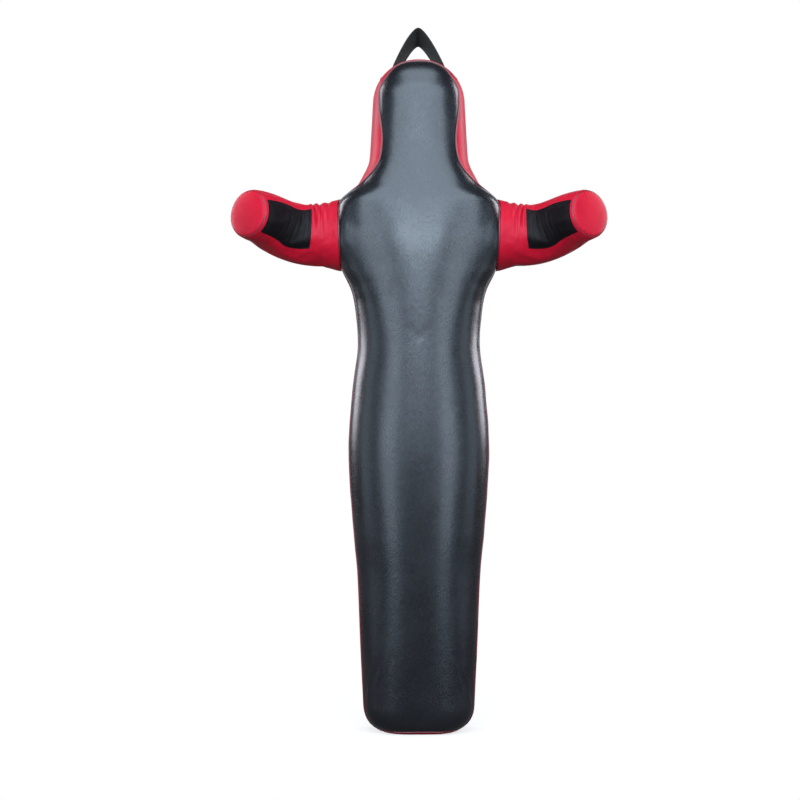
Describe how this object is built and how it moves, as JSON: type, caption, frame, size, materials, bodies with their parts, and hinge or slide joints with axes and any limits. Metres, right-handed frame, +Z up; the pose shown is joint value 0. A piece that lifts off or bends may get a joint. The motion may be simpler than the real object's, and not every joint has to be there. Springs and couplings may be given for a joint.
{
  "type": "grappling dummy",
  "caption": "One-legged stuffed grappling dummy: black front and back panels, red sides, two short stuffed arms turned forward, round end caps, forearm patches and a webbing loop at the crown.",
  "frame": {"origin": "centre of the flat foot, on the floor", "axes": "+Z up the body to the crown, the chest faces -Y, +X towards the dummy's own left arm"},
  "size_m": [0.8352, 0.3504, 1.6023],
  "materials": {
    "black_leathercloth": "satin",
    "red_leathercloth": "satin",
    "crimson_piping": "satin",
    "patch_leathercloth": "matte",
    "webbing": "matte",
    "wadding": "matte",
    "zip_tape": "matte",
    "zip_teeth": "satin",
    "zip_metal": "satin"
  },
  "bodies": {
    "torso": {"front_panel": "black_leathercloth", "head_gusset": "red_leathercloth", "left_flank_gusset": "red_leathercloth", "right_flank_gusset": "red_leathercloth", "back_panel_left": "black_leathercloth", "back_panel_right": "black_leathercloth", "base_panel": "red_leathercloth", "base_welt": "crimson_piping", "front_piping": "crimson_piping", "back_piping": "crimson_piping", "left_armhole_welt": "crimson_piping", "right_armhole_welt": "crimson_piping", "body_filling": "wadding", "handle_tab_left": "webbing", "handle_tab_right": "webbing", "zip_tape_left": "zip_tape", "zip_tape_right": "zip_tape", "zip_teeth_left": "zip_teeth", "zip_teeth_right": "zip_teeth", "zip_top_stop": "zip_metal", "zip_bottom_stop": "zip_metal"},
    "handle": {"handle_strap": "webbing"},
    "zip_slider": {"zip_slider": "zip_metal"},
    "zip_pull": {"zip_pull": "zip_metal"},
    "left_shoulder": {"left_shoulder_wad": "wadding"},
    "left_arm": {"left_arm_filling": "wadding", "left_sleeve": "red_leathercloth", "left_fist_cap": "red_leathercloth", "left_cap_welt": "crimson_piping", "left_forearm_patch": "patch_leathercloth"},
    "right_shoulder": {"right_shoulder_wad": "wadding"},
    "right_arm": {"right_arm_filling": "wadding", "right_sleeve": "red_leathercloth", "right_fist_cap": "red_leathercloth", "right_cap_welt": "crimson_piping", "right_forearm_patch": "patch_leathercloth"}
  },
  "joints": [
    {"name": "handle_tip", "type": "hinge", "parent": "torso", "child": "handle", "pos_m": [0, 0.056, 1.4665], "axis": [1, 0, 0], "range_deg": [-30, 30]},
    {"name": "zip_slide", "type": "slide", "parent": "torso", "child": "zip_slider", "axis": [0, 0, -1], "range_m": [0, 0.49]},
    {"name": "zip_pull_swing", "type": "hinge", "parent": "zip_slider", "child": "zip_pull", "pos_m": [0, 0.1096, 0.998], "axis": [1, 0, 0], "range_deg": [0, 150]},
    {"name": "left_arm_swing", "type": "hinge", "parent": "torso", "child": "left_shoulder", "pos_m": [0.178, 0, 1.107], "axis": [0, 0, -1], "range_deg": [-18, 18]},
    {"name": "left_arm_lift", "type": "hinge", "parent": "left_shoulder", "child": "left_arm", "pos_m": [0.178, 0, 1.107], "axis": [0, -1, 0], "range_deg": [-18, 18]},
    {"name": "right_arm_swing", "type": "hinge", "parent": "torso", "child": "right_shoulder", "pos_m": [-0.178, 0, 1.107], "axis": [0, 0, 1], "range_deg": [-18, 18]},
    {"name": "right_arm_lift", "type": "hinge", "parent": "right_shoulder", "child": "right_arm", "pos_m": [-0.178, 0, 1.107], "axis": [0, 1, 0], "range_deg": [-18, 18]}
  ]
}
